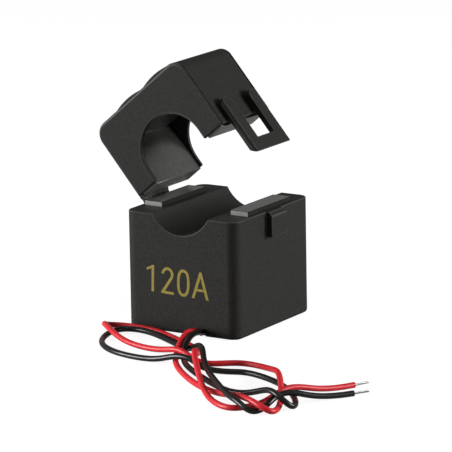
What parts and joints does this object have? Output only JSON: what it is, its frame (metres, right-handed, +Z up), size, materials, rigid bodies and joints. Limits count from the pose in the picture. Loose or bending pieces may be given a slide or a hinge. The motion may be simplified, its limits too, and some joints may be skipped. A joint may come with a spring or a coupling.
{
  "type": "split-core current transformer",
  "caption": "Split-core current transformer with a hinged, snap-latched upper half and two free secondary leads, standing open on its base.",
  "frame": {"origin": "middle of the underside of the lower housing", "axes": "+Z up from the base, +Y along the clamped cable away from the lead side, +X from the hinge towards the latch"},
  "size_m": [0.094, 0.0904, 0.0649],
  "materials": {
    "black_moulding": "fine matt moulding texture",
    "potting_resin": "cast surface",
    "core_steel": "ground pole faces",
    "bobbin_plastic": "moulded",
    "copper_wire": "enamelled",
    "amber_tape": "polyester film",
    "red_sleeve": "heat-shrunk",
    "black_sleeve": "heat-shrunk",
    "red_pvc": "extruded, satin",
    "black_pvc": "extruded, satin",
    "tinned_copper": "tinned strands",
    "pin_steel": "drawn",
    "spring_steel": "rolled strip"
  },
  "bodies": {
    "base": {"lower_housing": "black_moulding", "base_potting": "potting_resin", "lower_core": "core_steel", "bobbin": "bobbin_plastic", "secondary_winding": "copper_wire", "winding_tape": "amber_tape", "red_splice": "red_sleeve", "black_splice": "black_sleeve", "red_lead": "red_pvc", "black_lead": "black_pvc", "red_tinned_end": "tinned_copper", "black_tinned_end": "tinned_copper", "hinge_pin": "pin_steel"},
    "lid": {"lid_housing": "black_moulding", "left_spring": "spring_steel", "right_spring": "spring_steel"},
    "floating_core": {"upper_core": "core_steel"}
  },
  "joints": [
    {"name": "lid_hinge", "type": "hinge", "parent": "base", "child": "lid", "pos_m": [-0.01845, 0, 0.0301], "axis": [0, 1, 0], "range_deg": [0, 40]},
    {"name": "core_float", "type": "slide", "parent": "lid", "child": "floating_core", "axis": [-0.6428, 0, 0.766], "range_m": [0, 0.00166]}
  ],
  "couplings": [
    {"joint": "core_float", "follows": "lid_hinge", "m_per_rad": 0.002363}
  ]
}
